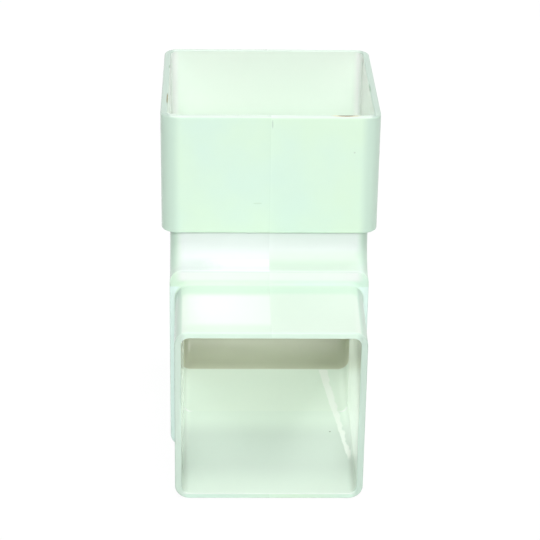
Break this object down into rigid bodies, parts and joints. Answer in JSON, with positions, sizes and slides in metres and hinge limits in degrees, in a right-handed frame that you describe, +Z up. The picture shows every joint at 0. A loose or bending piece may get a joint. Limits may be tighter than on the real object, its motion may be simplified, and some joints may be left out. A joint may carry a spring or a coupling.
{
  "type": "downpipe bend",
  "caption": "Square rainwater downpipe bend with a drafted socket above, a stepped outlet leg and a plain spigot in front.",
  "frame": {"origin": "on the flat sole of the body, straight below the point where the inlet and outlet axes cross", "axes": "+Z up from the sole, -Y along the level outlet, out of its mouth; the inlet rises along +Z and leans 2.5 degrees towards +Y; X = 0 is the plane of symmetry"},
  "size_m": [0.0708, 0.112, 0.1169],
  "materials": {
    "body_plastic": "smooth moulded, glossy"
  },
  "bodies": {
    "root": {"bend_body": "body_plastic"}
  },
  "joints": []
}
